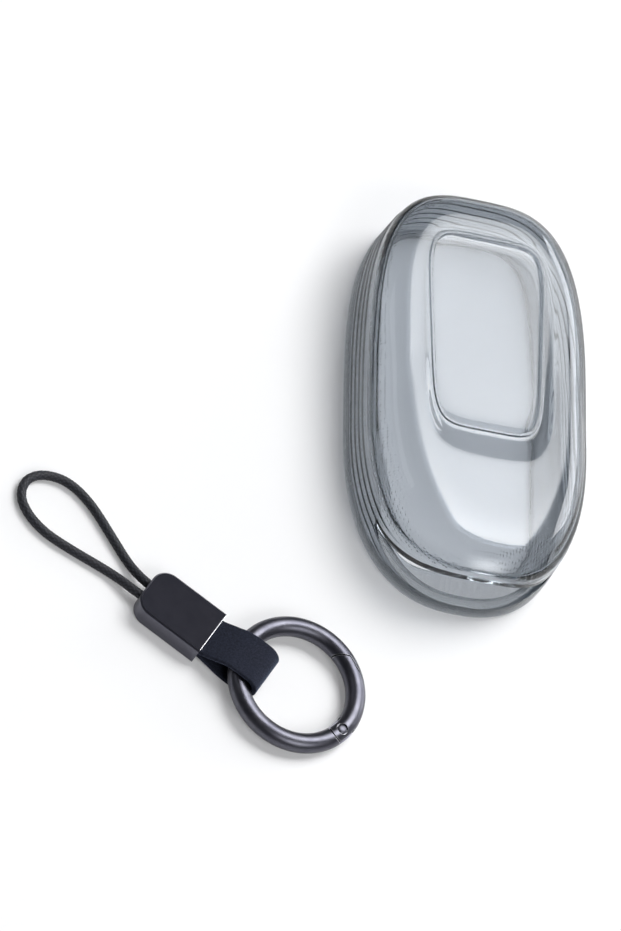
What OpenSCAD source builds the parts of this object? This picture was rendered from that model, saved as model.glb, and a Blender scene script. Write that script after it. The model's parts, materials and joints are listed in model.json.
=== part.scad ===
// A see-through key fob cover and its lanyard, lying side by side on a flat surface.
// Millimetres, +Z up. The cover's front faces up and its closed end points along +Y.
// The lanyard is a cord loop, a metal clip, a folded strap and a ring with a sprung gate.

/* [Cover] */
// Width of the cover at its widest line
cover_w = 48; // [45:0.5:54]
// Length of the cover, from the mouth end to the closed end
cover_l = 88.5; // [85:0.5:94]
// Height of the cover, up to the crown of its front face
cover_h = 20; // [19:0.5:22]
// Thickness of the cover's wall
wall = 1.6; // [1.2:0.1:2]
// Distance from the mouth end to the widest line
widest_from_mouth = 37; // [33:0.5:41]
// How far the side wall leans in between the back and the front
side_lean = 0.7; // [0.4:0.1:1.2]
// Rounding between the side wall and the front face
shoulder_r = 2.8; // [2.4:0.1:3.2]
// Rise of the front face from the top of the side wall to the crown
front_rise = 7.9; // [7.5:0.1:8.3]
// How much higher the side wall is at the closed end than at the sides
end_lift = 2.1; // [1.6:0.1:2.6]
// How much higher the side wall is over the middle of the mouth than at the sides
mouth_lift = 2.9; // [2.4:0.1:3.4]
// How much lower the front face is along its sides and its closed end than at the crown
side_drop = 1.2; // [0.6:0.1:1.5]
// Rounding of the outer edge of the back
back_r = 1.2; // [0.8:0.1:1.5]
// Number of ribs round the side wall
rib_count = 5; // [4:1:6]
// How far a rib stands out of the side wall
rib_h = 0.2; // [0.1:0.05:0.3]
// Width of a rib
rib_w = 0.7; // [0.5:0.1:0.9]

/* [Button window] */
// Width of the window at its closed end
window_w = 26; // [23:0.2:28]
// Length of the window
window_l = 45; // [41:0.5:48]
// Distance from the cover's closed end to the window
window_from_top = 11.5; // [10:0.5:13]
// How much narrower the window is at its other end
window_narrowing = 3; // [0:0.2:4]
// Depth of the dish round the window's lower end
dish_depth = 1.8; // [1:0.1:2.2]
// Rise of the window towards the closed end
window_rise = 0.5; // [0:0.1:0.8]
// Width of the bead round the window
bead_w = 1; // [0.8:0.1:1.4]
// Height of the bead round the window
bead_h = 0.3; // [0.1:0.05:0.5]

/* [Mouth and back opening] */
// Height of the wall between the middle of the mouth and the shoulder
mouth_brim = 0.6; // [0.4:0.1:1]
// Height of the lip at the middle of the mouth
lip_h = 3.8; // [3.2:0.1:4.4]
// Width of the lip's rim at the middle of the mouth
lip_w = 2.5; // [2.2:0.1:3]
// Half the angle that the mouth spans, seen from the middle of the widest line
mouth_half_angle = 39.4; // [34:5.6:45]
// Width of the opening in the back
opening_w = 31.4; // [26:0.2:34]
// Distance from the closed end to the opening
opening_from_top = 3.4; // [3:0.1:5]
// Distance from the mouth end to the opening
opening_from_mouth = 8.6; // [7:0.1:9.5]

/* [Ring and gate] */
// Outer diameter of the ring
ring_od = 28.4; // [26:0.2:32]
// Diameter of the ring's round section
tube_d = 3.9; // [3.4:0.1:4.1]
// Diameter of the pin's shank
pin_d = 1.5; // [1.2:0.1:1.6]
// Diameter of the pin's heads
pin_head_d = 2.2; // [2:0.1:2.4]
// Thickness of the ring's tongue between the gate's cheeks
tongue_t = 0.9; // [0.8:0.05:1]
// Height of the slot between the gate's cheeks
slot_h = 1.9; // [1.8:0.05:2]
// Distance from the pin's axis to the gate's tip
gate_reach = 15.7; // [14.8:0.1:16.6]
// Wire diameter of the gate's spring
spring_wire = 0.24; // [0.2:0.01:0.26]

/* [Clip] */
// Length of the clip
clip_l = 15.5; // [15:0.5:20]
// Width of the clip
clip_w = 10.8; // [10.4:0.1:12]
// Height of the clip
clip_h = 4.7; // [4.4:0.1:5.4]
// Radius of the clip's two round corners, at the cord's end
clip_r = 3.4; // [2.6:0.1:3.6]
// Bevel along the clip's edges
clip_bevel = 0.35; // [0.2:0.05:0.5]
// Depth of the clip's pocket for the strap
pocket_l = 9.4; // [8:0.2:9.6]

/* [Strap and cord] */
// Width of the strap
strap_w = 9.2; // [8:0.1:9.4]
// Thickness of one layer of the strap
strap_t = 1; // [0.8:0.05:1.1]
// Length of the strap that shows outside the clip
strap_reach = 13.4; // [13:0.1:14]
// Diameter of the cord
cord_d = 1.9; // [1.7:0.05:2]
// Distance between the cord's two ends in the clip
cord_gap = 3; // [2.6:0.1:3.2]

/* [Hidden] */

$fn = 96;
overrun = 1;

// Layout of the two pieces on the surface, about the middle of the set
cover_x = 21.1;
cover_y = 18.3;
lanyard_x = -30.4;
lanyard_y = -41.7;
lanyard_turn = 149;

// The cover's levels and plan, about its own centre
side_top = cover_h - front_rise;
widest_y = widest_from_mouth - cover_l / 2;
top_l = cover_l - widest_from_mouth;
top_power_share = 3.3;
mouth_power_share = 2.42;
rib_pitch = (side_top - back_r) / (rib_count + 1);
ribs_in_lip = 3;
lip_end_z = back_r + (ribs_in_lip + 0.25) * rib_pitch;
mouth_end_z = back_r + (ribs_in_lip + 0.65) * rib_pitch;
floor_fillet = 0.8;
shoulder_turn = 50;
shoulder_d = side_lean + shoulder_r * (1 - cos(shoulder_turn));
crest_share = 0.76;

// The window and the back opening, about the cover's own centre
window_y = cover_l / 2 - window_from_top - window_l / 2;
window_power_share = 5.7;
opening_l = cover_l - opening_from_top - opening_from_mouth;
opening_y = (opening_from_mouth - opening_from_top) / 2;
opening_power_share = 5;

// Points round the cover, and the steps among them that the mouth takes
cover_sides = 64;
cover_step = 360 / cover_sides;
mouth_steps = round(mouth_half_angle / cover_step);
mouth_middle = cover_sides * 3 / 4;
mouth_from = mouth_middle - mouth_steps;
mouth_to = mouth_middle + mouth_steps;

// The ring, about its own centre, with the pin on +X and the gate on +Y
ring_r = (ring_od - tube_d) / 2;
tube_r = tube_d / 2;
pin_clear = 0.05;
rivet_clear = 0.02;
gate_gap = 0.25;
cheek_r = 2.3;
tongue_r = 2.7;
tongue_neck_w = 3;
slot_clear = 0.05;
tongue_drop = (slot_h - tongue_t) / 2 - slot_clear;
step_y = 11.8;
step_r = ring_r + 0.5;
pin_half_l = 1.8;
pin_head_t = 0.4;
spring_turns = 2;
spring_pitch = 0.3;
spring_r = 1.25;
spring_leg_l = 2;
spring_clear = 0.03;

// The ring lies in the strap's loop, and leans from there down to the surface
ring_aside_share = 0.278;
ring_off_y = -ring_aside_share * ring_r;
loop_clear = 0.15;
loop_r = tube_r + loop_clear;
loop_z = strap_t + loop_r;
loop_far = loop_r + strap_t - strap_reach;
ring_edge_y = strap_w / 2 - ring_off_y;
ring_off_x = loop_far - loop_r + loop_clear - sqrt(pow(ring_r - tube_r, 2) - pow(ring_edge_y, 2));
ring_lever = ring_r + sqrt(pow(ring_r, 2) - pow(ring_off_y, 2));
ring_lean = asin((loop_z - tube_r - 0.2 * loop_clear) / ring_lever);
ring_z = tube_r + ring_r * sin(ring_lean);
pin_turn = 168;

// The clip's inside, with X along the clip from its square end
clip_mid_z = clip_h / 2;
pocket_clear = 0.3;
pocket_w = strap_w + pocket_clear;
pocket_h = 2 * strap_t + pocket_clear * 2;
crimp_l = 2.2;
crimp_w = cord_gap + cord_d + 0.3;
crimp_h = cord_d + 0.3;
crimp_x = pocket_l + 0.4;
crimp_clear = 0.15;
cord_clear = 0.15;
strap_pin_d = 1.4;
strap_pin_x = 4.6;
strap_pin_top = clip_h - 0.45;
strap_tail = 8.6;

// The cord's route from the crimp and back to it, in the lanyard's own axes
cord_low = 1;
cord_route = [
  [12, -1.5, 2.35], [14, -1.5, 2.35], [16, -1.6, 2.3], [18, -2.1, 1.9], [20.2, -3, 1.3], [22.6, -4.1, cord_low],
  [25.4, -5.4, cord_low], [28.4, -6.8, cord_low], [31.5, -8.2, cord_low], [34.6, -9.3, cord_low],
  [37.8, -9.9, cord_low], [40.8, -9.7, cord_low], [43.4, -8.6, cord_low], [45.3, -6.9, cord_low],
  [46.2, -4.7, cord_low], [45.9, -2.4, cord_low], [44.6, -0.4, cord_low], [42.5, 1, cord_low],
  [39.9, 1.9, cord_low], [37, 2.3, cord_low], [34, 2.2, cord_low], [31, 1.9, cord_low], [28, 1.5, cord_low],
  [25, 1.1, cord_low], [22.5, 0.9, 1.1], [20, 1, 1.5], [18, 1.3, 1.95], [16, 1.5, 2.3], [14, 1.5, 2.35],
  [12, 1.5, 2.35]
];
cord_sides = 8;

function mix(a, b, s) = a + (b - a) * s;
function smooth(s) = s <= 0 ? 0 : s >= 1 ? 1 : s * s * (3 - 2 * s);
function rounded(t, a, b, p) = pow(pow(abs(cos(t)) / a, p) + pow(abs(sin(t)) / b, p), -1 / p);

// The cover's plan at the angle t, moved in by d
function plan(t, d) =
  let (top = sin(t) >= 0)
  let (r = rounded(t, cover_w / 2 - d, (top ? top_l : widest_from_mouth) - d, top ? top_power_share : mouth_power_share))
  [r * cos(t), widest_y + r * sin(t)];

// The window's outline, moved in by d, and drawn towards its middle by the share m
function window(t, d, m = 1) =
  let (b = window_l / 2 - d)
  let (r = m * rounded(t, window_w / 2 - d, b, window_power_share))
  let (y = r * sin(t))
  [r * cos(t) * (1 - window_narrowing / window_w * (b - y) / (2 * b)), window_y + y];
function window_z(y) = cover_h - dish_depth + window_rise * (y - window_y + window_l / 2) / window_l;

function opening(t) =
  let (r = rounded(t, opening_w / 2, opening_l / 2, opening_power_share))
  [r * cos(t), opening_y + r * sin(t)];

// How near the angle t is to the middle of the mouth: 0 at the middle, 1 at its ends and beyond
function mouth_share(t) = min(1, abs(t - mouth_middle * cover_step) / (mouth_steps * cover_step));
function arch(t) = (1 + cos(180 * mouth_share(t))) / 2;
function lip_z(t) = mix(lip_h, lip_end_z, pow(mouth_share(t), 2.5));
function wall_top(t) = side_top + end_lift * pow(max(0, sin(t)), 2) + mouth_lift * arch(t);
function mouth_z(t) = mix(mouth_end_z, side_top + mouth_lift - mouth_brim, arch(t));
function side_d(z) = side_lean * (z - back_r) / (side_top - back_r);

// The height z of the plain side wall, drawn up at the closed end and away from the mouth
function side_z(t, z) =
  sin(t) > 0 ? back_r + (z - back_r) * (wall_top(t) - back_r) / (side_top - back_r) :
  z > lip_end_z ? mix(mouth_z(t), wall_top(t), (z - mouth_end_z) / (side_top - mouth_end_z)) :
  back_r + (z - back_r) * (lip_z(t) - back_r) / (lip_end_z - back_r);
function side_point(t, d, z) = concat(plan(t, d), side_z(t, z));
function rib_point(t, z, out) = side_point(t, side_d(z) - out * pow(mouth_share(t), 4), z);

// A point of the front face: s is 0 at the shoulder and 1 at the window
function crest_z(t) = cover_h - side_drop * (1 - pow(max(0, -sin(t)), 2));
function shoulder_z(t) = wall_top(t) + shoulder_r * sin(shoulder_turn);
function front_plan(t, s) = mix(plan(t, shoulder_d), window(t, 0), s);
function front_z(t, s) =
  let (gap = crest_share * norm(plan(t, shoulder_d) - window(t, 0)))
  let (rise = crest_z(t) - shoulder_z(t))
  let (power = gap / tan(shoulder_turn) / rise)
  let (up = rise * (1 - pow(1 - min(1, s / crest_share), power)))
  let (dip = crest_z(t) - window_z(window(t, 0).y))
  shoulder_z(t) + up - dip * smooth((s - crest_share) / (1 - crest_share));
function front_point(t, s, under = 0) = concat(front_plan(t, s), front_z(t, s) - under);
function window_point(t, d, m, up) = let (p = window(t, d, m)) concat(p, window_z(p.y) + up);
function shoulder_point(t, a, r) =
  concat(plan(t, side_lean + shoulder_r - r * cos(a)), wall_top(t) + r * sin(a));

// One point of each ring, from the middle of the window outwards, round and back inside
window_shares = [0.45, 0.85];
front_shares = [0.86, 0.72, 0.6, 0.4, 0.2, 0.08];
under_shares = [0.1, 0.3, 0.6, 0.8, 1];
bead_shares = [[1, 0], [0.7, 1], [0.3, 1], [0, 0]];
function outer_top(t) = concat(
  [for (m = window_shares) window_point(t, bead_w, m, 0)],
  [for (b = bead_shares) window_point(t, bead_w * b[0], 1, bead_h * b[1])],
  [for (s = front_shares) front_point(t, s)],
  [for (k = [4 : -1 : 0]) shoulder_point(t, shoulder_turn * k / 4, shoulder_r)]);
function rib_rings(t, from, to) = [
  for (k = [from : -1 : to]) let (z = back_r + (k + 1) * rib_pitch)
    for (e = [1, 0, -1]) rib_point(t, z + e * rib_w / 2, e == 0 ? rib_h : 0)];
function outer_side(t) = concat(rib_rings(t, rib_count - 1, ribs_in_lip), [rib_point(t, mouth_end_z, 0)]);
function outer_low(t) = concat(
  [rib_point(t, lip_end_z, 0)], rib_rings(t, ribs_in_lip - 1, 0),
  [for (a = [0, 45, 90]) concat(plan(t, back_r * (1 - cos(a))), back_r * (1 - sin(a)))],
  [concat(opening(t), 0), concat(opening(t), wall)]);
function inner_lip_d(t) = wall + (lip_w - wall) * (1 - pow(mouth_share(t), 4));
function inner_low(t) = [
  concat(plan(t, inner_lip_d(t) + floor_fillet), wall),
  concat(plan(t, inner_lip_d(t)), wall + floor_fillet)];
function inner_side(t) = [
  side_point(t, inner_lip_d(t) + side_d(lip_z(t)), lip_end_z),
  side_point(t, wall + side_d(mouth_end_z), mouth_end_z),
  side_point(t, wall + side_lean, side_top)];
function inner_top(t) = concat(
  [for (a = [0.5, 1]) shoulder_point(t, a * shoulder_turn, shoulder_r - wall)],
  [for (s = under_shares) front_point(t, s, wall)],
  [window_point(t, bead_w, window_shares[0], -wall)]);
function chain(t) = concat(outer_top(t), outer_side(t), outer_low(t), inner_low(t), inner_side(t), inner_top(t));

module cover_shell() {
  chains = [for (i = [0 : cover_sides - 1]) chain(i * cover_step)];
  rings = len(chains[0]);
  middle_z = window_z(window_y);
  mouth_outer = len(outer_top(0)) + len(outer_side(0)) - 1;
  lip_outer = mouth_outer + 1;
  lip_inner = mouth_outer + len(outer_low(0)) + len(inner_low(0)) + 1;
  mouth_inner = lip_inner + 1;
  top = cover_sides * rings;
  points = concat([for (c = chains) each c], [[0, window_y, middle_z], [0, window_y, middle_z - wall]]);
  function at(i, j) = (i % cover_sides) * rings + j;
  function in_mouth(i) = i >= mouth_from && i < mouth_to;
  skin = [
    for (i = [0 : cover_sides - 1]) for (j = [0 : rings - 2])
      if (!(in_mouth(i) && (j == mouth_outer || j == lip_inner)))
        each [[at(i, j), at(i + 1, j), at(i + 1, j + 1)], [at(i, j), at(i + 1, j + 1), at(i, j + 1)]]];
  ends = [
    for (i = [0 : cover_sides - 1])
      each [[top, at(i + 1, 0), at(i, 0)], [top + 1, at(i, rings - 1), at(i + 1, rings - 1)]]];
  rims = [
    for (i = [mouth_from : mouth_to - 1]) each [
      [at(i, mouth_outer), at(i + 1, mouth_outer), at(i + 1, mouth_inner)],
      [at(i, mouth_outer), at(i + 1, mouth_inner), at(i, mouth_inner)],
      [at(i, lip_inner), at(i + 1, lip_inner), at(i + 1, lip_outer)],
      [at(i, lip_inner), at(i + 1, lip_outer), at(i, lip_outer)]]];
  jambs = [
    [for (j = [mouth_outer, lip_outer, lip_inner, mouth_inner]) at(mouth_to, j)],
    [for (j = [mouth_inner, lip_inner, lip_outer, mouth_outer]) at(mouth_from, j)]];
  color([0.45, 0.48, 0.52, 0.45])
    translate([cover_x, cover_y, 0])
      polyhedron(points, concat(skin, ends, rims, jambs), convexity = 12);
}

module lanyard_place() {
  translate([lanyard_x, lanyard_y, 0]) rotate([0, 0, lanyard_turn]) children();
}

module ring_place() {
  lanyard_place()
    translate([ring_off_x, ring_off_y, ring_z])
      rotate([0, -ring_lean, 0])
        rotate([0, 0, pin_turn]) children();
}

module tube_ring() {
  rotate_extrude() translate([ring_r, 0]) circle(tube_r);
}

// The gate's plan grown by a gap, before its nose is stepped
module gate_zone(gap) {
  intersection() {
    union() {
      translate([ring_r, 0]) circle(cheek_r + gap);
      translate([-ring_od, 0]) square([2 * ring_od, ring_od]);
    }
    translate([ring_r, 0]) circle(gate_reach + gap);
    translate([-tube_d, -ring_od]) square([2 * ring_od, 2 * ring_od]);
  }
}

// The ring's outer half that laps over the gate's nose
module nose_step(gap) {
  difference() {
    translate([-ring_od, step_y + gap]) square([2 * ring_od, ring_od]);
    circle(step_r + gap);
  }
}

module across(h) {
  translate([0, 0, -h / 2]) linear_extrude(h) children();
}

module pin_hole(r) {
  translate([ring_r, 0, -tube_d]) cylinder(h = 2 * tube_d, r = r);
}

module ring_body() {
  color([0.36, 0.36, 0.39]) ring_place() {
    difference() {
      tube_ring();
      across(2 * tube_d) difference() {
        gate_zone(gate_gap);
        nose_step(gate_gap / 2);
      }
    }
    difference() {
      intersection() {
        tube_ring();
        translate([0, 0, -tongue_drop]) across(tongue_t) intersection() {
          translate([ring_r, 0]) union() {
            circle(tongue_r);
            translate([-tongue_neck_w / 2, -cheek_r - tongue_neck_w]) square([tongue_neck_w, cheek_r + tongue_neck_w]);
          }
          difference() {
            circle(ring_r + tube_r);
            circle(ring_r - tube_r);
          }
        }
      }
      pin_hole(pin_d / 2 + pin_clear);
    }
  }
}

module gate() {
  color([0.38, 0.38, 0.41]) ring_place() difference() {
    intersection() {
      tube_ring();
      across(2 * tube_d) difference() {
        gate_zone(0);
        nose_step(-gate_gap / 2);
      }
    }
    translate([ring_r, 0, -slot_h / 2]) cylinder(h = slot_h, r = tongue_r + gate_gap);
    pin_hole(pin_d / 2 + rivet_clear);
    for (side = [-1, 1])
      translate([ring_r, 0, side * (pin_half_l - pin_head_t / 2 + overrun / 2)])
        cylinder(h = pin_head_t + overrun + rivet_clear, r = pin_head_d / 2 + rivet_clear, center = true);
  }
}

module gate_pin() {
  color([0.5, 0.5, 0.53]) ring_place() translate([ring_r, 0, 0]) {
    cylinder(h = 2 * pin_half_l, r = pin_d / 2, center = true);
    for (side = [-1, 1])
      translate([0, 0, side * (pin_half_l - pin_head_t / 2)]) cylinder(h = pin_head_t, r = pin_head_d / 2, center = true);
  }
}

// A tube swept along a path of points, with its sides square to the path
function along(path, i) =
  let (a = path[max(0, i - 1)], b = path[min(len(path) - 1, i + 1)]) (b - a) / norm(b - a);
function tube_points(path, r, sides) = [
  for (i = [0 : len(path) - 1])
    let (t = along(path, i))
    let (side = cross(t, [0, 0, 1]) / norm(cross(t, [0, 0, 1])))
    let (up = cross(side, t))
      for (k = [0 : sides - 1]) path[i] + r * (cos(360 * k / sides) * side + sin(360 * k / sides) * up)];
function tube_faces(count, sides) = concat(
  [[for (k = [0 : sides - 1]) k]],
  [for (i = [0 : count - 2]) for (k = [0 : sides - 1])
    let (n = (k + 1) % sides)
      each [[i * sides + k, (i + 1) * sides + k, (i + 1) * sides + n], [i * sides + k, (i + 1) * sides + n, i * sides + n]]],
  [[for (k = [sides - 1 : -1 : 0]) (count - 1) * sides + k]]);
module tube(path, r, sides) {
  polyhedron(tube_points(path, r, sides), tube_faces(len(path), sides), convexity = 8);
}

// Coil round the pin, above the tongue, with a leg towards the ring and one towards the gate
module gate_spring() {
  steps = 12;
  low = tongue_t / 2 - tongue_drop + spring_wire / 2 + spring_clear;
  coil = [for (i = [0 : steps * spring_turns])
    [spring_r * cos(360 * i / steps), spring_r * sin(360 * i / steps), low + spring_pitch * i / steps]];
  last = coil[len(coil) - 1];
  path = concat([coil[0] - [0, spring_leg_l, 0]], coil, [last + [0, spring_leg_l, 0]]);
  color([0.7, 0.7, 0.72]) ring_place() translate([ring_r, 0, 0]) tube(path, spring_wire / 2, 6);
}

// The clip's outer form: a bevelled block with two round corners
module clip_section(w) {
  polygon([
    [-w / 2, clip_bevel], [-w / 2 + clip_bevel, 0], [w / 2 - clip_bevel, 0], [w / 2, clip_bevel],
    [w / 2, clip_h - clip_bevel], [w / 2 - clip_bevel, clip_h], [-w / 2 + clip_bevel, clip_h],
    [-w / 2, clip_h - clip_bevel]]);
}

module clip_block() {
  rotate([90, 0, 90]) linear_extrude(clip_l - clip_r) clip_section(clip_w);
  intersection() {
    translate([clip_l / 2, 0, 0]) rotate([90, 0, 0]) linear_extrude(clip_w - 2 * clip_r, center = true) clip_section(clip_l);
    translate([clip_r, -clip_w / 2, 0]) cube([clip_l, clip_w, clip_h]);
  }
  for (side = [-1, 1])
    translate([clip_l - clip_r, side * (clip_w / 2 - clip_r), 0])
      rotate_extrude() intersection() {
        clip_section(2 * clip_r);
        square([clip_r, clip_h]);
      }
}

module clip_body() {
  color([0.14, 0.14, 0.17]) lanyard_place() difference() {
    clip_block();
    translate([-overrun, -pocket_w / 2, clip_mid_z - pocket_h / 2]) cube([pocket_l + overrun, pocket_w, pocket_h]);
    translate([pocket_l - overrun, -crimp_w / 2 - crimp_clear, clip_mid_z - crimp_h / 2 - crimp_clear])
      cube([crimp_x - pocket_l + crimp_l + overrun, crimp_w + 2 * crimp_clear, crimp_h + 2 * crimp_clear]);
    for (side = [-1, 1])
      translate([crimp_x + crimp_l - overrun, side * cord_gap / 2, clip_mid_z])
        rotate([0, 90, 0]) cylinder(h = clip_l, r = cord_d / 2 + cord_clear);
    translate([strap_pin_x, 0, -overrun]) cylinder(h = strap_pin_top + overrun, r = strap_pin_d / 2 + rivet_clear);
  }
}

module strap_pin() {
  color([0.6, 0.6, 0.62]) lanyard_place()
    translate([strap_pin_x, 0, 0]) cylinder(h = strap_pin_top, r = strap_pin_d / 2);
}

module cord_crimp() {
  color([0.65, 0.6, 0.45]) lanyard_place()
    translate([crimp_x, -crimp_w / 2, clip_mid_z - crimp_h / 2]) cube([crimp_l, crimp_w, crimp_h]);
}

// The strap's loop in side view, r thick about its middle, with its taper ending at the height half
module strap_side(r, nose, half, tail) {
  near = ring_off_x + ring_r + loop_r * 0.4;
  polygon(concat(
    [for (a = [90 : 10 : 270]) [loop_far + r * cos(a), loop_z + r * sin(a)]],
    [[near, loop_z - r], [nose, clip_mid_z - half], [tail, clip_mid_z - half]],
    [[tail, clip_mid_z + half], [nose, clip_mid_z + half], [near, loop_z + r]]));
}

module strap() {
  color([0.06, 0.07, 0.1]) lanyard_place() difference() {
    rotate([90, 0, 0]) linear_extrude(strap_w, center = true) difference() {
      strap_side(loop_r + strap_t, 0, strap_t, strap_tail);
      strap_side(loop_r, -1.5 * strap_t, 0.05 * strap_t, -strap_t);
    }
    translate([strap_pin_x, 0, -overrun]) cylinder(h = clip_h + 2 * overrun, r = strap_pin_d / 2 + rivet_clear);
  }
}

module cord_loop() {
  color([0.07, 0.08, 0.11]) lanyard_place() tube(cord_route, cord_d / 2, cord_sides);
}

cover_shell();
ring_body();
gate();
gate_pin();
gate_spring();
clip_body();
strap();
strap_pin();
cord_crimp();
cord_loop();
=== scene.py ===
import json
import math
import bpy
import bmesh
import numpy as np
from mathutils import Matrix, Vector


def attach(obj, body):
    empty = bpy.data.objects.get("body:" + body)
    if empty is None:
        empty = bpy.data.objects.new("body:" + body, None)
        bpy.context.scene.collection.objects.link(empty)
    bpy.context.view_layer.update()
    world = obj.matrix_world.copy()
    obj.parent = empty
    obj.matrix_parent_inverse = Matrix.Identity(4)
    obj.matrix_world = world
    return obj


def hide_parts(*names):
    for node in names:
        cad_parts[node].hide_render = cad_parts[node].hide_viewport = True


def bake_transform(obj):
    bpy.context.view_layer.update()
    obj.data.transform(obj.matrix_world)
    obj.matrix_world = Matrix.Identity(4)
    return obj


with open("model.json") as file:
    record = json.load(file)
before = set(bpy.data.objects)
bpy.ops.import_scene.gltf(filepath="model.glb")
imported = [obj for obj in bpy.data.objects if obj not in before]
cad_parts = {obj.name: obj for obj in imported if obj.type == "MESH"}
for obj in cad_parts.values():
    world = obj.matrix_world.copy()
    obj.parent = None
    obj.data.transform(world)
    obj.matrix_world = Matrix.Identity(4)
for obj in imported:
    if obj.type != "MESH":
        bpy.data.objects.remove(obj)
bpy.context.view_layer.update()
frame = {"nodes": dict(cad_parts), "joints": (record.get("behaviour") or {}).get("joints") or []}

# A see-through cover and its lanyard. Sizes are in millimetres unless a comment says otherwise

MM = 0.001
scene = bpy.context.scene
scene.view_settings.view_transform = "Standard"

# Where the two pieces lie, as in the CAD model
COVER_AT = np.array([21.1, 18.3, 0.0])
LANYARD_AT = np.array([-30.4, -41.7, 0.0])
LANYARD_TURN = math.radians(149)
LANYARD_COS, LANYARD_SIN = math.cos(LANYARD_TURN), math.sin(LANYARD_TURN)


def lanyard_points(points):
    """Points in the lanyard's own axes, as points of the row frame in metres."""
    x, y, z = np.asarray(points, float).T
    frame_x = LANYARD_AT[0] + LANYARD_COS * x - LANYARD_SIN * y
    frame_y = LANYARD_AT[1] + LANYARD_SIN * x + LANYARD_COS * y
    return np.stack([frame_x, frame_y, z], 1) * MM


# Small helpers for meshes, pieces and shader nodes

def face_outwards(bm):
    bm.normal_update()
    bmesh.ops.recalc_face_normals(bm, faces=bm.faces)


def fill_mesh(mesh, bm):
    bm.to_mesh(mesh)
    bm.free()
    return mesh


def add_piece(name, mesh, material):
    piece = bpy.data.objects.new(name, mesh)
    scene.collection.objects.link(piece)
    mesh.materials.append(material)
    return piece


class Nodes:
    """The shader nodes of a material, a lamp or the world, with short calls to add, set and link them."""

    def __init__(self, owner, output="OutputMaterial"):
        owner.use_nodes = True
        self.owner = owner
        self.tree = owner.node_tree
        self.tree.nodes.clear()
        self.out = self.add(output)

    def add(self, kind, **settings):
        node = self.tree.nodes.new("ShaderNode" + kind)
        for key, value in settings.items():
            setattr(node, key, value)
        return node

    def set(self, socket, value):
        if isinstance(value, bpy.types.NodeSocket):
            self.tree.links.new(value, socket)
        else:
            socket.default_value = value

    def put(self, node, *first, **named):
        """Sets or links a node's first sockets in their order, and others by their names."""
        for socket, value in zip(node.inputs, first):
            self.set(socket, value)
        for key, value in named.items():
            self.set(node.inputs[key.replace("_", " ")], value)
        return node

    def finish(self, shader):
        self.put(self.out, Surface=shader.outputs[0])
        return self.owner

    def math(self, what, a, b):
        return self.put(self.add("Math", operation=what), a, b).outputs[0]

    def dot(self, a, b):
        return self.put(self.add("VectorMath", operation="DOT_PRODUCT"), a, b).outputs["Value"]

    def height(self, direction):
        """The Z share of a direction."""
        return self.put(self.add("SeparateXYZ"), direction).outputs["Z"]

    def place(self):
        return self.add("TexCoord").outputs["Object"]

    def stored(self, name):
        """A value that the mesh holds at each of its points."""
        return self.add("Attribute", attribute_name=name).outputs["Fac"]

    def noise(self, scale, detail, rough=0.5):
        node = self.add("TexNoise")
        self.put(node, Vector=self.place(), Scale=scale, Detail=detail, Roughness=rough)
        return node.outputs["Fac"]

    def ramp(self, value, low, high, a=0.0, b=1.0, curve="LINEAR"):
        """Goes from a to b as the value goes from low to high."""
        node = self.add("MapRange", interpolation_type=curve)
        self.put(node, Value=value, From_Min=low, From_Max=high, To_Min=a, To_Max=b)
        return node.outputs["Result"]

    def uneven(self, scale, detail, low, high):
        """A value that wanders softly between low and high."""
        return self.ramp(self.noise(scale, detail), 0.3, 0.7, low, high)

    def blend(self, factor, a, b):
        """A colour between a and b, which are sockets 6 and 7 of a Mix node. Its colour is output 2."""
        node = self.put(self.add("Mix", data_type="RGBA"), factor)
        for number, colour in ((6, a), (7, b)):
            self.set(node.inputs[number], (*colour, 1) if isinstance(colour, tuple) else colour)
        return node.outputs[2]

    def mottled(self, scale, dark, light):
        """A colour that wanders softly between two tones."""
        return self.blend(self.ramp(self.noise(scale, 3), 0.35, 0.65), dark, light)

    def bevel(self, radius, samples):
        """The surface's direction, with its edges rounded off to a radius."""
        return self.put(self.add("Bevel", samples=samples), Radius=radius).outputs["Normal"]

    def bump(self, height, distance, strength, normal=None):
        node = self.put(self.add("Bump"), Height=height, Distance=distance, Strength=strength)
        if normal is not None:
            self.put(node, Normal=normal)
        return node.outputs["Normal"]

    def principled(self, **values):
        return self.put(self.add("BsdfPrincipled"), **values)

    def mix(self, factor, first, second):
        return self.put(self.add("MixShader"), factor, first.outputs[0], second.outputs[0])


def new_material(name):
    return Nodes(bpy.data.materials.new(name))


# Materials. Their radii and bump distances are in metres, and their noise scales in cycles a metre

GRAIN_SCALE, WEAR_SCALE = 9000, 900


def metal(name, dark, light, rough, grain=0.000012, bevel=0.00012):
    """Satin metal: fine blasted grain, soft tone changes, and rounded edges painted paler, partly as wear
    and partly as a painted highlight.
    """
    m = new_material(name)
    # The paler edge tone is partly edge wear and partly a painted highlight.
    edge, wear_and_glint_share = (0.75, 0.75, 0.78), 0.7
    rounded = m.bevel(bevel, samples=6)
    wear_and_glint = m.ramp(m.dot(rounded, m.add("NewGeometry").outputs["Normal"]), 0.995, 0.93)
    return m.finish(m.principled(
        Base_Color=m.blend(m.math("MULTIPLY", wear_and_glint, wear_and_glint_share), m.mottled(260, dark, light), edge),
        Metallic=1.0, Roughness=m.uneven(WEAR_SCALE, 4, rough - 0.04, rough + 0.05),
        Normal=m.bump(m.noise(GRAIN_SCALE, 2), grain, 0.6, rounded)))


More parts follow.
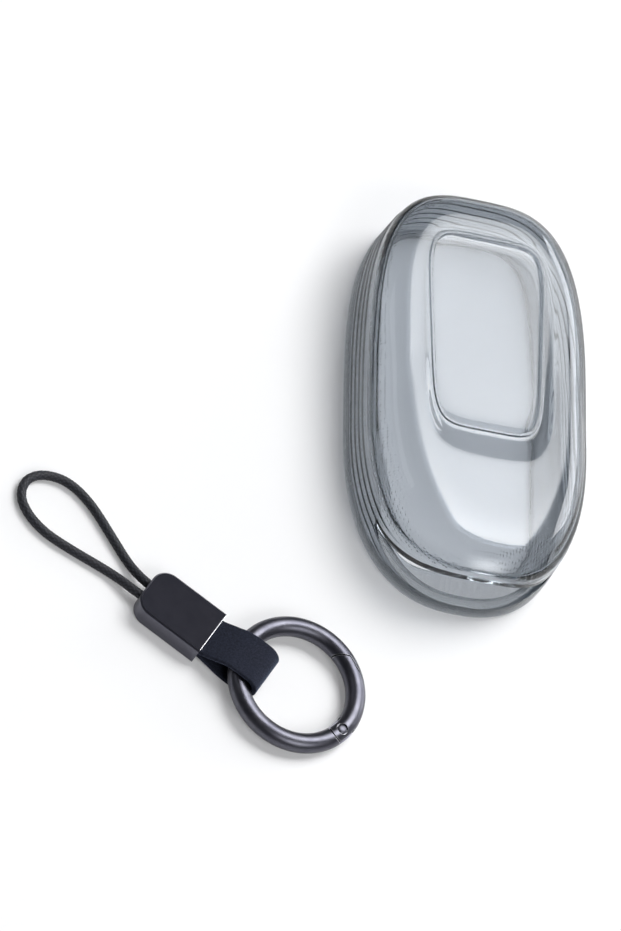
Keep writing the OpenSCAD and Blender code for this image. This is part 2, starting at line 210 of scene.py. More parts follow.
def black_nickel():
    """The clip's black plating, with painted light: a dark top that is painted shade, paler sides that are
    painted light, and a painted highlight line on the edge facets at the strap's end.
    """
    m = new_material("black_nickel")
    # The sides' paler tone is painted light.
    side, painted_highlight = (0.115, 0.115, 0.14), (0.8, 0.8, 0.83)
    slope = 0.707
    # The edge facets that face the strap's end get a painted highlight line.
    painted_highlight_facing = (-slope * LANYARD_COS, -slope * LANYARD_SIN, slope)
    rounded = m.bevel(0.00016, samples=6)
    # The top faces, picked by their direction, are painted dark and kept from shining, as painted shade.
    flat = m.ramp(m.height(rounded), 0.8, 0.985)
    line = m.ramp(m.dot(m.bevel(0.0004, samples=16), painted_highlight_facing), 0.88, 0.985)
    painted_dark_top = m.math("MULTIPLY", flat, m.math("SUBTRACT", 1.0, line))
    top = m.mottled(320, (0.0152, 0.0155, 0.0228), (0.018, 0.0182, 0.026))
    return m.finish(m.principled(
        Base_Color=m.blend(line, m.blend(flat, side, top), painted_highlight),
        Metallic=m.math("SUBTRACT", 1.0, painted_dark_top), Specular_IOR_Level=0.02,
        Roughness=m.uneven(WEAR_SCALE, 4, 0.3, 0.36),
        Normal=m.bump(m.noise(GRAIN_SCALE, 2), 0.000004, 0.5, rounded)))


def smoke_plastic():
    """Clear soft plastic: a smoky tint, a slight ripple from the mould and fine dots on its inner side."""
    m = new_material("smoke_plastic")
    cells = m.put(m.add("TexVoronoi", feature="F1"), Vector=m.place(), Scale=1500.0, Randomness=0.25)
    dots = m.math("MULTIPLY", m.ramp(cells.outputs["Distance"], 0.25, 0.4, 1, 0), m.stored("dots"))
    ripple = m.bump(m.noise(70, 2), 0.00004, 0.35)
    clear = m.principled(
        Base_Color=(0.97, 0.98, 1, 1), Roughness=m.uneven(180, 3, 0.01, 0.03), IOR=1.48,
        Transmission_Weight=1.0, Normal=m.bump(dots, 0.00006, 0.8, ripple))
    shadow = m.put(m.add("BsdfTransparent"), Color=(0.755, 0.765, 0.785, 1))
    smoke = m.put(m.add("VolumeAbsorption"), Color=(0.09, 0.15, 0.2, 1), Density=365.0)
    m.put(m.out, Volume=smoke.outputs[0])
    return m.finish(m.mix(m.add("LightPath").outputs["Is Shadow Ray"], clear, shadow))


def suede():
    """Near-black suede: a napped surface with soft patches and short fibres."""
    m = new_material("suede")
    nap = m.noise(2600, 6, rough=0.65)
    patch = m.noise(240, 3)
    tone = m.blend(m.ramp(nap, 0.3, 0.75), (0.004, 0.0052, 0.0096), (0.024, 0.028, 0.046))
    tone = m.blend(m.ramp(patch, 0.35, 0.7, 0, 0.45), tone, (0.0135, 0.0162, 0.0295))
    return m.finish(m.principled(
        Base_Color=tone, Roughness=0.92, Specular_IOR_Level=0.2,
        Sheen_Weight=0.35, Sheen_Roughness=0.4, Sheen_Tint=(0.36, 0.43, 0.66, 1),
        Normal=m.bump(nap, 0.00012, 0.9, m.bump(patch, 0.0001, 0.5))))


def braid():
    """Waxed braided cord: near black, the strands' crests a little glossier, the grooves between them darker
    as painted shade, and pale specks as painted glints.
    """
    m = new_material("braid")
    crest = m.stored("crest")
    fibre_and_glints = m.noise(6000, 3)
    # Darker grooves and paler crests between the strands are painted shade.
    tone = m.blend(m.ramp(crest, 0.35, 1), (0.0025, 0.003, 0.006), (0.014, 0.016, 0.026))
    # The pale specks are painted glints.
    tone = m.blend(m.ramp(fibre_and_glints, 0.6, 0.8, 0, 0.6), tone, (0.16, 0.17, 0.22))
    return m.finish(m.principled(
        Base_Color=tone, Roughness=m.ramp(crest, 0, 1, 0.8, 0.5), Sheen_Weight=0.03,
        Normal=m.bump(fibre_and_glints, 0.00005, 0.6)))


# The cover's sizes, as in the CAD model

COVER_W, COVER_L, COVER_H, WALL = 48.0, 88.5, 20.0, 1.6
WIDEST_FROM_MOUTH = 37.0
SIDE_LEAN, SHOULDER_R, BACK_R = 0.7, 2.8, 1.2
FRONT_RISE, SIDE_DROP, END_LIFT, MOUTH_LIFT = 7.9, 1.2, 2.1, 2.9
RIB_COUNT, RIB_H, RIB_W = 5, 0.2, 0.7
WINDOW_W, WINDOW_L, WINDOW_FROM_TOP = 26.0, 45.0, 11.5
WINDOW_NARROWING, WINDOW_RISE, DISH_DEPTH = 3.0, 0.5, 1.8
BEAD_W, BEAD_H = 1.0, 0.3
MOUTH_BRIM, LIP_H, LIP_W, FLOOR_FILLET = 0.6, 3.8, 2.5, 0.8
OPENING_W, OPENING_FROM_TOP, OPENING_FROM_MOUTH = 31.4, 3.4, 8.6
RIBS_TO_LIP_END, RIBS_TO_MOUTH_END = 3.25, 3.65
CREST_SHARE = 0.76
SHOULDER_TURN = math.radians(50)
TOP_POWER, MOUTH_POWER, WINDOW_POWER, OPENING_POWER = 3.3, 2.42, 5.7, 5

SIDE_TOP = COVER_H - FRONT_RISE
WIDEST_Y = WIDEST_FROM_MOUTH - COVER_L / 2
RIB_PITCH = (SIDE_TOP - BACK_R) / (RIB_COUNT + 1)
LIP_END = BACK_R + RIBS_TO_LIP_END * RIB_PITCH
MOUTH_END = BACK_R + RIBS_TO_MOUTH_END * RIB_PITCH
WINDOW_Y = COVER_L / 2 - WINDOW_FROM_TOP - WINDOW_L / 2
OPENING_L = COVER_L - OPENING_FROM_TOP - OPENING_FROM_MOUTH
OPENING_Y = (OPENING_FROM_MOUTH - OPENING_FROM_TOP) / 2

# The rounding and the steps of the cover's visible mesh
OPENING_R, WINDOW_CROWN, MOUTH_EDGE_R = 0.6, 0.12, 0.22
SIDES, MOUTH_STEPS, MOUTH_EDGE_STEPS = 320, 35, 3
BEAD_STEPS, FRONT_STEPS, SHOULDER_STEPS = 14, 34, 9
UPPER_STEPS, LIP_STEPS, BACK_STEPS, OPENING_STEPS = 36, 48, 6, 3
FILLET_STEPS, INNER_LIP_STEPS, INNER_STEPS = 4, 6, 12
INNER_SHOULDER_STEPS, INNER_FRONT_STEPS, INNER_FRONT_START = 7, 29, 0.05
RIB_FLANK_SHARE, BEAD_FLANK_SHARE = 0.62, 0.3
WINDOW_SHARES, UNDER_WINDOW_SHARES = (0.2, 0.45, 0.7, 0.88), (0.6, 0.25)
DOT_RINGS_BELOW, DOT_RINGS_ABOVE = 5, 13

# What changes round the cover, with one value for each side of its rings
STEP = 2 * math.pi / SIDES
ANGLE = np.arange(SIDES) * STEP
COS, SIN = np.cos(ANGLE), np.sin(ANGLE)
MOUTH_MIDDLE = SIDES * 3 // 4
MOUTH_FROM, MOUTH_TO = MOUTH_MIDDLE - MOUTH_STEPS, MOUTH_MIDDLE + MOUTH_STEPS
FROM_MIDDLE = np.minimum(1, np.abs(ANGLE - MOUTH_MIDDLE * STEP) / (MOUTH_STEPS * STEP))
ARCH = (1 + np.cos(math.pi * FROM_MIDDLE)) / 2
LIP_Z = LIP_H + (LIP_END - LIP_H) * FROM_MIDDLE ** 2.5
LIP_D = WALL + (LIP_W - WALL) * (1 - FROM_MIDDLE ** 4)
CREST_Z = COVER_H - SIDE_DROP * (1 - np.maximum(0, -SIN) ** 2)
WALL_TOP = SIDE_TOP + END_LIFT * np.maximum(0, SIN) ** 2 + MOUTH_LIFT * ARCH
MOUTH_Z = MOUTH_END + (SIDE_TOP + MOUTH_LIFT - MOUTH_BRIM - MOUTH_END) * ARCH
SHOULDER_D = SIDE_LEAN + SHOULDER_R * (1 - math.cos(SHOULDER_TURN))
SHOULDER_Z = WALL_TOP + SHOULDER_R * math.sin(SHOULDER_TURN)


def smooth(s):
    """The way from 0 to 1, with a soft start and end."""
    s = np.clip(s, 0, 1)
    return s * s * (3 - 2 * s)


def quarter(steps, first=0):
    """The sine and cosine at even steps through a right angle."""
    angles = [math.pi / 2 * k / steps for k in range(first, steps + 1)]
    return [(math.sin(a), math.cos(a)) for a in angles]


def rounded(a, b, power):
    """The radius, in each direction, of a rounded oblong with the half sides a and b."""
    return (np.abs(COS / a) ** power + np.abs(SIN / b) ** power) ** (-1 / power)


def plan(d):
    """The cover's outline, moved in by d, which may change round the cover."""
    top = rounded(COVER_W / 2 - d, COVER_L - WIDEST_FROM_MOUTH - d, TOP_POWER)
    low = rounded(COVER_W / 2 - d, WIDEST_FROM_MOUTH - d, MOUTH_POWER)
    r = np.where(SIN >= 0, top, low)
    return np.stack([r * COS, WIDEST_Y + r * SIN], 1)


def window(d, share=1.0):
    """The window's outline, moved in by d and drawn at a share of its size."""
    half = WINDOW_L / 2 - d
    r = share * rounded(WINDOW_W / 2 - d, half, WINDOW_POWER)
    y = r * SIN
    narrowing = WINDOW_NARROWING / WINDOW_W * (half - y) / (2 * half)
    return np.stack([r * COS * (1 - narrowing), WINDOW_Y + y], 1)


def window_z(y):
    return COVER_H - DISH_DEPTH + WINDOW_RISE * (y - WINDOW_Y + WINDOW_L / 2) / WINDOW_L


def opening(d):
    """The outline of the back's opening, moved out by d."""
    r = rounded(OPENING_W / 2 + d, OPENING_L / 2 + d, OPENING_POWER)
    return np.stack([r * COS, OPENING_Y + r * SIN], 1)


def ring(outline, z):
    return np.column_stack([outline, np.broadcast_to(z, len(outline))])


def side_z(z):
    """The height z of the side wall, drawn up at the closed end and away from the mouth."""
    closed = BACK_R + (z - BACK_R) * (WALL_TOP - BACK_R) / (SIDE_TOP - BACK_R)
    if z > LIP_END:
        near = MOUTH_Z + (WALL_TOP - MOUTH_Z) * (z - MOUTH_END) / (SIDE_TOP - MOUTH_END)
    else:
        near = BACK_R + (z - BACK_R) * (LIP_Z - BACK_R) / (LIP_END - BACK_R)
    return np.where(SIN > 0, closed, near)


def side_d(z):
    return SIDE_LEAN * (z - BACK_R) / (SIDE_TOP - BACK_R)


def rib(z):
    """How far the ribs stand out at the height z."""
    out = 0.0
    for k in range(RIB_COUNT):
        near = abs(z - (BACK_R + (k + 1) * RIB_PITCH)) / (RIB_FLANK_SHARE * RIB_W)
        out += RIB_H * math.cos(math.pi / 2 * min(1, near)) ** 2
    return out


def side_rings(start, end, steps, first=0):
    """Rings down the ribbed side wall. The ribs fade out towards the middle of the mouth."""
    heights = [start + (end - start) * k / steps for k in range(first, steps + 1)]
    return [ring(plan(side_d(z) - rib(z) * FROM_MIDDLE ** 4), side_z(z)) for z in heights]


def shoulder_ring(angle, r):
    return ring(plan(SIDE_LEAN + SHOULDER_R - r * math.cos(angle)), WALL_TOP + r * math.sin(angle))


def front_ring(share, under=0.0):
    """A ring at a share of the way from the shoulder over the crest and down to the window."""
    a, b = plan(SHOULDER_D), window(0)
    gap = CREST_SHARE * np.linalg.norm(a - b, axis=1)
    rise = CREST_Z - SHOULDER_Z
    power = gap / math.tan(SHOULDER_TURN) / rise
    z = SHOULDER_Z + rise * (1 - (1 - min(1, share / CREST_SHARE)) ** power)
    z = z - (CREST_Z - window_z(b[:, 1])) * smooth((share - CREST_SHARE) / (1 - CREST_SHARE))
    return ring(a + (b - a) * share, z - under)


def window_ring(d, share, up_by):
    outline = window(d, share)
    return ring(outline, window_z(outline[:, 1]) + up_by)


def window_rings():
    """The window's pane and the bead round it."""
    rings = [window_ring(BEAD_W, share, WINDOW_CROWN * (1 - share * share)) for share in WINDOW_SHARES]
    for k in range(BEAD_STEPS + 1):
        u = k / BEAD_STEPS
        rise = float(smooth(min(u, 1 - u) / BEAD_FLANK_SHARE))
        rings.append(window_ring(BEAD_W * (1 - u), 1, BEAD_H * rise))
    return rings


def back_rings():
    """The back's round edge, its flat rim and the rounded edge of its opening."""
    rings = [ring(plan(BACK_R * (1 - cos)), BACK_R * (1 - sin)) for sin, cos in quarter(BACK_STEPS, 1)]
    rings.append(ring(plan(BACK_R) * 0.5 + opening(OPENING_R) * 0.5, 0))
    for sin, cos in quarter(OPENING_STEPS):
        rings.append(ring(opening(OPENING_R * (1 - sin)), OPENING_R * (1 - cos)))
    for sin, cos in quarter(OPENING_STEPS):
        rings.append(ring(opening(OPENING_R * (1 - cos)), WALL - OPENING_R * (1 - sin)))
    return rings


def inner_lip_rings():
    """The lip's inner side, from the fillet at the back up to the lip's edge."""
    rings = []
    for sin, cos in quarter(FILLET_STEPS):
        rings.append(ring(plan(LIP_D + FLOOR_FILLET * (1 - sin)), WALL + FLOOR_FILLET * (1 - cos)))
    low, top = WALL + FLOOR_FILLET, side_z(LIP_END)
    for k in range(1, INNER_LIP_STEPS + 1):
        share = k / INNER_LIP_STEPS
        rings.append(ring(plan(LIP_D + side_d(LIP_Z) * share), low + (top - low) * share))
    return rings


def inner_wall_rings():
    start = ring(plan(WALL + side_d(MOUTH_END)), side_z(MOUTH_END))
    end = ring(plan(WALL + SIDE_LEAN), WALL_TOP)
    return [start + (end - start) * k / INNER_STEPS for k in range(INNER_STEPS + 1)]


def inner_front_rings():
    """The underside of the shoulder, the front and the window."""
    rings = []
    for k in range(1, INNER_SHOULDER_STEPS + 1):
        rings.append(shoulder_ring(SHOULDER_TURN * k / INNER_SHOULDER_STEPS, SHOULDER_R - WALL))
    for k in range(1, INNER_FRONT_STEPS + 1):
        share = INNER_FRONT_START + (1 - INNER_FRONT_START) * k / INNER_FRONT_STEPS
        rings.append(front_ring(share, WALL))
    return rings + [window_ring(BEAD_W, share, -WALL) for share in UNDER_WINDOW_SHARES]


def cover_rings():
    """The cover's skin as rings of points, from the middle of the window outwards, round and back inside."""
    rings = window_rings()
    rings += [front_ring(1 - k / FRONT_STEPS) for k in range(1, FRONT_STEPS)]
    for k in range(SHOULDER_STEPS, -1, -1):
        rings.append(shoulder_ring(SHOULDER_TURN * k / SHOULDER_STEPS, SHOULDER_R))
    rings += side_rings(SIDE_TOP, MOUTH_END, UPPER_STEPS, first=1)
    mouth_outer = len(rings) - 1
    rings += side_rings(LIP_END, BACK_R, LIP_STEPS)
    rings += back_rings()
    rings += inner_lip_rings()
    lip_inner = len(rings) - 1
    rings += inner_wall_rings()
    roof_inner = len(rings) - 1
    rings += inner_front_rings()
    return rings, mouth_outer, lip_inner, roof_inner


def cover_mesh():
    """Joins the rings except across the mouth, and closes and rounds the mouth's edges."""
    rings, mouth_outer, lip_inner, roof_inner = cover_rings()
    lip_outer, mouth_inner = mouth_outer + 1, lip_inner + 1
    bm = bmesh.new()
    dots = bm.verts.layers.float.new("dots")
    at = [[bm.verts.new(Vector(point + COVER_AT) * MM) for point in points] for points in rings]
    for corners in at[roof_inner - DOT_RINGS_BELOW:roof_inner + DOT_RINGS_ABOVE]:
        for corner in corners:
            corner[dots] = 1.0
    pane = np.array([0, WINDOW_Y, window_z(WINDOW_Y)]) + COVER_AT
    top = bm.verts.new(Vector(pane + [0, 0, WINDOW_CROWN]) * MM)
    low = bm.verts.new(Vector(pane - [0, 0, WALL]) * MM)
    for i in range(SIDES):
        n = (i + 1) % SIDES
        bm.faces.new((top, at[0][i], at[0][n]))
        bm.faces.new((low, at[-1][n], at[-1][i]))
        in_mouth = MOUTH_FROM <= i < MOUTH_TO
        for j in range(len(rings) - 1):
            if not (in_mouth and j in (mouth_outer, lip_inner)):
                bm.faces.new((at[j][i], at[j + 1][i], at[j + 1][n], at[j][n]))
        if in_mouth:
            bm.faces.new((at[mouth_outer][i], at[mouth_inner][i], at[mouth_inner][n], at[mouth_outer][n]))
            bm.faces.new((at[lip_outer][i], at[lip_outer][n], at[lip_inner][n], at[lip_inner][i]))
    for i in (MOUTH_FROM, MOUTH_TO):
        bm.faces.new([at[j][i] for j in (mouth_outer, lip_outer, lip_inner, mouth_inner)])
    face_outwards(bm)
    sharp = []
    for j in (mouth_outer, mouth_inner, lip_outer, lip_inner):
        sharp += [bm.edges.get((at[j][i], at[j][i + 1])) for i in range(MOUTH_FROM, MOUTH_TO)]
    for j in (mouth_outer, lip_inner):
        sharp += [bm.edges.get((at[j][i], at[j + 1][i])) for i in (MOUTH_FROM, MOUTH_TO)]
    bmesh.ops.bevel(bm, geom=sharp, offset=MOUTH_EDGE_R * MM, segments=MOUTH_EDGE_STEPS, profile=0.5,
                    affect="EDGES", clamp_overlap=True)
    mesh = fill_mesh(bpy.data.meshes.new("cover"), bm)
    mesh.shade_smooth()
    return mesh


cover = add_piece("cover", cover_mesh(), smoke_plastic())
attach(cover, "cover")
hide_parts("cover_shell")


# What the cord and the strap share: both are tubes along a smooth line in the lanyard's own axes

SPLINE_STEPS = 40


def lengths_along(points):
    return np.concatenate([[0], np.cumsum(np.linalg.norm(np.diff(points, axis=0), axis=1))])


def tangents(points):
    t = np.gradient(points, axis=0)
    return t / np.linalg.norm(t, axis=1)[:, None]


def spline(points, step):
    """Points at even steps along a smooth curve through the given points, and the curve's length."""
    p = np.asarray(points, float)
    p = np.vstack([2 * p[0] - p[1], p, 2 * p[-1] - p[-2]])
    curve = []
    for i in range(1, len(p) - 2):
        a, b, c, d = p[i - 1:i + 3]
        for u in np.linspace(0, 1, SPLINE_STEPS, endpoint=False):
            curve.append(0.5 * (2 * b + (c - a) * u + (2 * a - 5 * b + 4 * c - d) * u ** 2
                                + (3 * b - a - 3 * c + d) * u ** 3))
    curve = np.array(curve + [p[-2]])
    along = lengths_along(curve)
    even = np.linspace(0, along[-1], int(round(along[-1] / step)) + 1)
    return np.stack([np.interp(even, along, curve[:, k]) for k in range(3)], 1), along[-1]


def tube_mesh(name, skin, sides):
    """A closed tube through rings of points. Each ring has as many points as the tube has sides."""
    count = len(skin) // sides
    faces = []
    for i in range(count - 1):
        for k in range(sides):
            n = (k + 1) % sides
            faces.append((i * sides + k, i * sides + n, (i + 1) * sides + n, (i + 1) * sides + k))
    faces.append(tuple(range(sides))[::-1])
    faces.append(tuple(range((count - 1) * sides, count * sides)))
    mesh = bpy.data.meshes.new(name)
    mesh.from_pydata([tuple(v) for v in lanyard_points(skin)], [], faces)
    bm = bmesh.new()
    bm.from_mesh(mesh)
    face_outwards(bm)
    fill_mesh(mesh, bm).shade_smooth()
    return mesh


# The cord: a braided tube on the CAD route

CORD_D = 1.9
LOW = 1.0
ROUTE = [
    (12, -1.5, 2.35), (14, -1.5, 2.35), (16, -1.6, 2.3), (18, -2.1, 1.9), (20.2, -3, 1.3), (22.6, -4.1, LOW),
    (25.4, -5.4, LOW), (28.4, -6.8, LOW), (31.5, -8.2, LOW), (34.6, -9.3, LOW), (37.8, -9.9, LOW),
    (40.8, -9.7, LOW), (43.4, -8.6, LOW), (45.3, -6.9, LOW), (46.2, -4.7, LOW), (45.9, -2.4, LOW),
    (44.6, -0.4, LOW), (42.5, 1, LOW), (39.9, 1.9, LOW), (37, 2.3, LOW), (34, 2.2, LOW), (31, 1.9, LOW),
    (28, 1.5, LOW), (25, 1.1, LOW), (22.5, 0.9, 1.1), (20, 1, 1.5), (18, 1.3, 1.95), (16, 1.5, 2.3),
    (14, 1.5, 2.35), (12, 1.5, 2.35)]
CORD_STEP, CORD_SIDES = 0.13, 40
STRANDS, BRAID_PITCH, BRAID_DEPTH = 8, 1.35, 0.11
PATH_EVERY = 3


def braided(points):
    """The skin of a plain braid: strands wind both ways round the points, over and under each other."""
    tangent = tangents(points)
    side = np.cross(tangent, [0, 0, 1.0])
    side /= np.linalg.norm(side, axis=1)[:, None]
    top = np.cross(side, tangent)
    angle = np.arange(CORD_SIDES) * 2 * math.pi / CORD_SIDES
    a = STRANDS * angle[None, :] / (2 * math.pi)
    s = lengths_along(points)[:, None] / BRAID_PITCH
    u, v = a + s, a - s
    across_u, across_v = np.abs(np.sin(math.pi * u)), np.abs(np.sin(math.pi * v))
    over = 0.5 + 0.5 * np.cos(math.pi * (np.floor(u) + np.floor(v)))
    rise = np.where(over > 0.5, across_u * (0.55 + 0.45 * across_v), across_v * (0.55 + 0.45 * across_u))
    r = CORD_D / 2 - BRAID_DEPTH * (1 - rise)
    cos, sin = np.cos(angle)[None, :, None], np.sin(angle)[None, :, None]
    skin = points[:, None, :] + r[:, :, None] * (cos * side[:, None, :] + sin * top[:, None, :])
    return skin.reshape(-1, 3), rise.reshape(-1)


def cord_mesh(line):
    skin, crest = braided(line)
    mesh = tube_mesh("cord", skin, CORD_SIDES)
    mesh.attributes.new("crest", "FLOAT", "POINT").data.foreach_set("value", crest.astype(np.float32))
    return mesh


cord_line, cord_length = spline(ROUTE, CORD_STEP)
cord_path = cord_line[::PATH_EVERY]
if (len(cord_line) - 1) % PATH_EVERY:
    cord_path = np.vstack([cord_path, cord_line[-1]])
cord = add_piece("cord", cord_mesh(cord_line), braid())
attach(cord, "lanyard")
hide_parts("cord_loop")


# The strap: one strip of suede, folded round the ring and tucked into the clip

STRAP_T, STRAP_W, STRAP_REACH, STRAP_TAIL = 1.0, 9.2, 13.4, 8.6
CLIP_MIDDLE_Z = 2.35
RING_R, TUBE_R, RING_EDGE_Y = 12.25, 1.95, 8.0
LOOP_CLEAR = 0.15
LOOP_R, LOOP_Z = TUBE_R + LOOP_CLEAR, 3.1
STRAP_STEP, STRAP_FLATS, STRAP_EDGES = 0.32, 28, 6
STRAP_EDGE_R, STRAP_SLACK = 0.2, 0.02
EDGE_WAVE, WAVE_SPREAD, WAVE_FROM_X, WAVE_TO_X = 0.006, 9, -13, -0.5


def strap_line():
    """The middle of the strip, from its upper tail over the ring and back under it to its lower tail."""
    far_x = LOOP_R + STRAP_T - STRAP_REACH
    ring_x = far_x - LOOP_R + LOOP_CLEAR - math.sqrt((RING_R - TUBE_R) ** 2 - RING_EDGE_Y ** 2)
    near = ring_x + RING_R + LOOP_R * 0.4
    r = LOOP_R + STRAP_T / 2
    nose, last = -0.6, near - 0.4
    runs = []
    for side, at_nose, at_loop in ((1, 0.1, -0.08), (-1, -0.1, 0.05)):
        tucked = CLIP_MIDDLE_Z + side * STRAP_T / 2
        start, end = tucked + at_nose, LOOP_Z + side * r + at_loop
        run = [(STRAP_TAIL, tucked + side * 0.02), (4.0, tucked + side * 0.02), (0.6, tucked + side * 0.03)]
        run.append((nose, start))
        run += [(nose + (last - nose) * u, start + (end - start) * u) for u in (0.3, 0.6, 0.9)]
        run += [(near - 1.8, LOOP_Z + side * r), (near - 3.2, LOOP_Z + side * r)]
        runs.append(run)
    over, under = runs
    turn = np.linspace(math.pi / 2, 3 * math.pi / 2, 13)
    fold = [(far_x + r * math.cos(a), LOOP_Z + r * math.sin(a)) for a in turn]
    return spline([(x, 0, z) for x, z in over + fold + under[::-1]], STRAP_STEP)[0]


def strap_section():
    """The strip's cross section, flat on both sides with round edges, as pairs of across and up."""
    half, reach = STRAP_T / 2 - STRAP_SLACK, STRAP_W / 2 - STRAP_EDGE_R
    section = []
    for side in (1, -1):
        for k in range(STRAP_FLATS + 1):
            section.append((side * (2 * reach * k / STRAP_FLATS - reach), side * half))
        for a in np.linspace(math.pi / 2, -math.pi / 2, STRAP_EDGES + 1)[1:-1]:
            section.append((side * (reach + STRAP_EDGE_R * math.cos(a)), side * half * math.sin(a)))
    return section


def strap_mesh():
    """The strip along its line. Its edges wander a little between the clip and the fold."""
    line, section = strap_line(), strap_section()
    out = np.cross([0, 1.0, 0], tangents(line))
    draws = np.random.default_rng(5).normal(0, 1, len(line) + WAVE_SPREAD - 1)
    wave = EDGE_WAVE * np.convolve(draws, np.ones(WAVE_SPREAD) / WAVE_SPREAD, "valid")
    wave[(line[:, 0] <= WAVE_FROM_X) | (line[:, 0] >= WAVE_TO_X)] = 0
    skin = []
    for point, normal, swell in zip(line, out, wave):
        skin += [point + np.array([0, across * (1 + swell), 0]) + normal * up for across, up in section]
    return tube_mesh("strap_leather", skin, len(section))


strap = add_piece("strap_leather", strap_mesh(), suede())
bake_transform(strap)
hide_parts("strap")


# The metal pieces keep their CAD shapes, with finer edges and finishes

gunmetal = metal("gunmetal", (0.088, 0.088, 0.108), (0.112, 0.112, 0.132), 0.36, grain=0.000002)
steel = metal("pin_steel", (0.3, 0.3, 0.32), (0.4, 0.4, 0.42), 0.25)
spring_steel = metal("spring_steel", (0.5, 0.5, 0.52), (0.62, 0.62, 0.64), 0.2, bevel=0.00003)
ferrule = metal("ferrule", (0.55, 0.52, 0.45), (0.65, 0.62, 0.55), 0.3)

for node, material in (("ring_body", gunmetal), ("gate", gunmetal), ("clip_body", black_nickel()),
                       ("strap_pin", steel), ("gate_spring", spring_steel), ("cord_crimp", ferrule)):
    finish = frame["nodes"][node].data.materials
    finish.clear()
    finish.append(material)


# The gate's pin: a rivet on the gate's own axis, with domed heads a little smaller than their pockets

RIVET_SEAT, RIVET_R = 1.4, 0.75
HEAD_R, HEAD_RIM_H, HEAD_DOME_H = 0.96, 0.2, 0.32
RIVET_SIDES, DOME_STEPS = 48, 8
SHARP_TURN = math.radians(40)


def rivet_profile():
    """Pairs of radius and height, from the lower head's dome to the upper one's."""
    head = [(RIVET_R, RIVET_SEAT), (HEAD_R, RIVET_SEAT), (HEAD_R, RIVET_SEAT + HEAD_RIM_H)]
    for sin, cos in quarter(DOME_STEPS, 1)[:-1]:
        head.append((HEAD_R * cos, RIVET_SEAT + HEAD_RIM_H + HEAD_DOME_H * sin))
    return [(r, -z) for r, z in head[::-1]] + head


def rivet_mesh():
    hinge = next(joint for joint in frame["joints"] if joint["name"] == "gate_open")
    turn = Vector((0, 0, 1)).rotation_difference(Vector(hinge["axis"])).to_matrix()
    bm = bmesh.new()

    def spot(r, z, angle=0.0):
        local = Vector((r * math.cos(angle), r * math.sin(angle), z))
        return bm.verts.new(Vector(hinge["pos_m"]) + turn @ local * MM)

    step = 2 * math.pi / RIVET_SIDES
    rings = [[spot(r, z, step * k) for k in range(RIVET_SIDES)] for r, z in rivet_profile()]
    for a, b in zip(rings, rings[1:]):
        for k in range(RIVET_SIDES):
            n = (k + 1) % RIVET_SIDES
            bm.faces.new((a[k], a[n], b[n], b[k]))
    tip = RIVET_SEAT + HEAD_RIM_H + HEAD_DOME_H
    for corners, z in ((rings[0], -tip), (rings[-1], tip)):
        end = spot(0, z)
        for k in range(RIVET_SIDES):
            bm.faces.new((end, corners[k], corners[(k + 1) % RIVET_SIDES]))
    face_outwards(bm)
    for face in bm.faces:
        face.smooth = True
    for edge in bm.edges:
        edge.smooth = edge.calc_face_angle(0) < SHARP_TURN
    return fill_mesh(bpy.data.meshes.new("gate_rivet"), bm)


rivet = add_piece("gate_rivet", rivet_mesh(), gunmetal)
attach(rivet, "gate")
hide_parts("gate_pin")


# The camera stands where the cover's outline, its window and its mouth line up with the photograph

PHOTO_H_PX, FOCAL_PX = 931, 5516.5
ASIDE_PX, ABOVE_PX = 143.33, 12.05
SENSOR_H = 24
STAND_OFF_M = 1.1
FITTED_RIGHT = Vector((0.9296, -0.0041, 0.3685))
FITTED_BACK = Vector((-0.3215, -0.4979, 0.8054)).normalized()


def camera_axes(right, back):
    """The camera's right, up and back axes, with right made square to back."""
    right = (right - back * right.dot(back)).normalized()
    return right, back.cross(right), back


def add_camera():
    """Stands off from the middle of the cover's widest line, and is then turned a little aside from it."""
    right, up, back = camera_axes(FITTED_RIGHT, FITTED_BACK)
    stand = Vector((COVER_AT[0], COVER_AT[1] + WIDEST_Y, 0)) * MM + back * STAND_OFF_M
    turned = (back + right * (ASIDE_PX / FOCAL_PX) + up * (ABOVE_PX / FOCAL_PX)).normalized()
    data = bpy.data.cameras.new("camera")
    data.sensor_fit = "VERTICAL"
    data.sensor_height = SENSOR_H
    data.lens = FOCAL_PX / PHOTO_H_PX * SENSOR_H
    data.clip_start = 0.05
    data.clip_end = 20
    camera = bpy.data.objects.new("camera", data)
    scene.collection.objects.link(camera)
    axes = Matrix(camera_axes(right, turned)).transposed()
    camera.matrix_world = Matrix.Translation(stand) @ axes.to_4x4()
    scene.camera = camera


add_camera()


# Floor, world and lamps, in metres

FLOOR_SIZE, FLOOR_GLOW = 6, 0.18
CENTRE = Vector((0.02, 0.01, 0.015))
KEY_AT = CENTRE + Vector((0.40, 0.42, 0.82)).normalized() * 1.6
FILL_AT = CENTRE + Vector((0.5, -1.0, 1.1))
SIDE_AT = CENTRE + Vector((1.4, 0.8, 0.36))
LEFT_AT = CENTRE + Vector((-1.2, 0.6, 1.1))
COOL = (0.97, 0.98, 1)

# How a lamp fades towards its edges: an axis, where the fade starts and ends, and its two levels
KEY_FADES = (("X", 0.0, 0.16, 0.0, 1.0), ("X", 1.0, 0.84, 0.0, 1.0),
             ("Y", 0.0, 0.08, 0.0, 1.0), ("Y", 1.0, 0.05, 0.35, 1.0))
TENT_FADES = (("X", 0.0, 0.5, 0.0, 1.0), ("X", 1.0, 0.5, 0.0, 1.0),
              ("Y", 0.0, 0.5, 0.0, 1.0), ("Y", 1.0, 0.5, 0.0, 1.0))


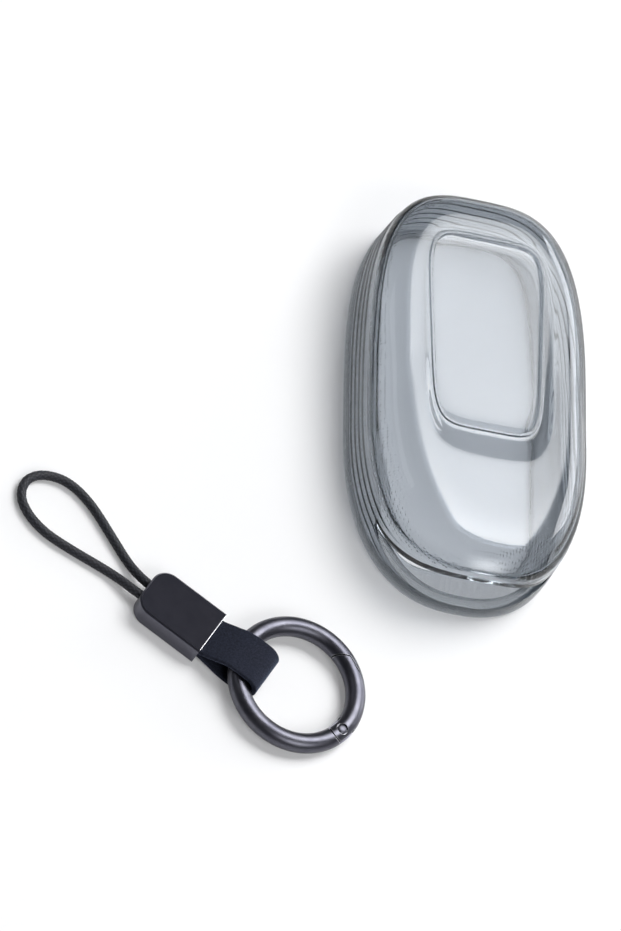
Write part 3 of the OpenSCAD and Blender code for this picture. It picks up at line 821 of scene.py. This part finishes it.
def pale_floor():
    """Matt white that keeps its shadows, with a little glow where it is seen, also in metal and plastic."""
    m = new_material("floor")
    matt = m.put(m.add("BsdfDiffuse"), Color=(0.85, 0.853, 0.86, 1))
    white = m.put(m.add("Emission"), Color=(1, 1, 1, 1), Strength=1.0)
    path = m.add("LightPath").outputs
    mirrored = m.math("MAXIMUM", path["Is Glossy Ray"], path["Is Transmission Ray"])
    seen = m.math("MAXIMUM", path["Is Camera Ray"], mirrored)
    return m.finish(m.mix(m.math("MULTIPLY", seen, FLOOR_GLOW), matt, white))


def studio():
    """A dim room round the object, white where the camera looks past the floor."""
    w = Nodes(bpy.data.worlds.new("studio"), "OutputWorld")
    room = w.put(w.add("ValToRGB"), w.height(w.add("TexCoord").outputs["Generated"]))
    level, above = room.color_ramp.elements
    level.position = 0.0
    level.color = (0.2, 0.205, 0.22, 1)
    above.position = 0.55
    above.color = (0.06, 0.063, 0.07, 1)
    colour = w.blend(w.add("LightPath").outputs["Is Camera Ray"], room.outputs[0], (1, 1, 1))
    return w.finish(w.put(w.add("Background"), Color=colour, Strength=1.0))


def fade(data, fades):
    n = Nodes(data, "OutputLight")
    spot = n.put(n.add("SeparateXYZ"), n.add("NewGeometry").outputs["Parametric"])
    level = 1.0
    for axis, start, full, low, most in fades:
        level = n.math("MULTIPLY", level, n.ramp(spot.outputs[axis], start, full, low, most, "SMOOTHSTEP"))
    n.finish(n.put(n.add("Emission"), Strength=level))


def softbox(name, at, size_x, size_y, radiance, colour=(1, 1, 1), fades=()):
    """A rectangular lamp that faces the object's centre."""
    data = bpy.data.lights.new(name, "AREA")
    data.shape = "RECTANGLE"
    data.size = size_x
    data.size_y = size_y
    data.energy = radiance * math.pi * size_x * size_y
    data.color = colour
    if fades:
        fade(data, fades)
    lamp = bpy.data.objects.new(name, data)
    scene.collection.objects.link(lamp)
    z = (at - CENTRE).normalized()
    x = (Vector((1, 0, 0)) - z * z.x).normalized()
    lamp.matrix_world = Matrix.Translation(at) @ Matrix((x, z.cross(x), z)).transposed().to_4x4()


bpy.ops.mesh.primitive_plane_add(size=FLOOR_SIZE, location=(0, 0, 0))
floor = bpy.context.object
floor.name = "floor"
floor.data.materials.append(pale_floor())

scene.world = studio()
softbox("key", KEY_AT, size_x=1.45, size_y=1.1, radiance=11.0, fades=KEY_FADES)
softbox("fill", FILL_AT, size_x=1.4, size_y=1.3, radiance=6.5, fades=TENT_FADES)
softbox("side", SIDE_AT, size_x=1.3, size_y=0.6, radiance=5.5, colour=COOL)
softbox("left", LEFT_AT, size_x=0.3, size_y=1.0, radiance=1.2, colour=COOL)
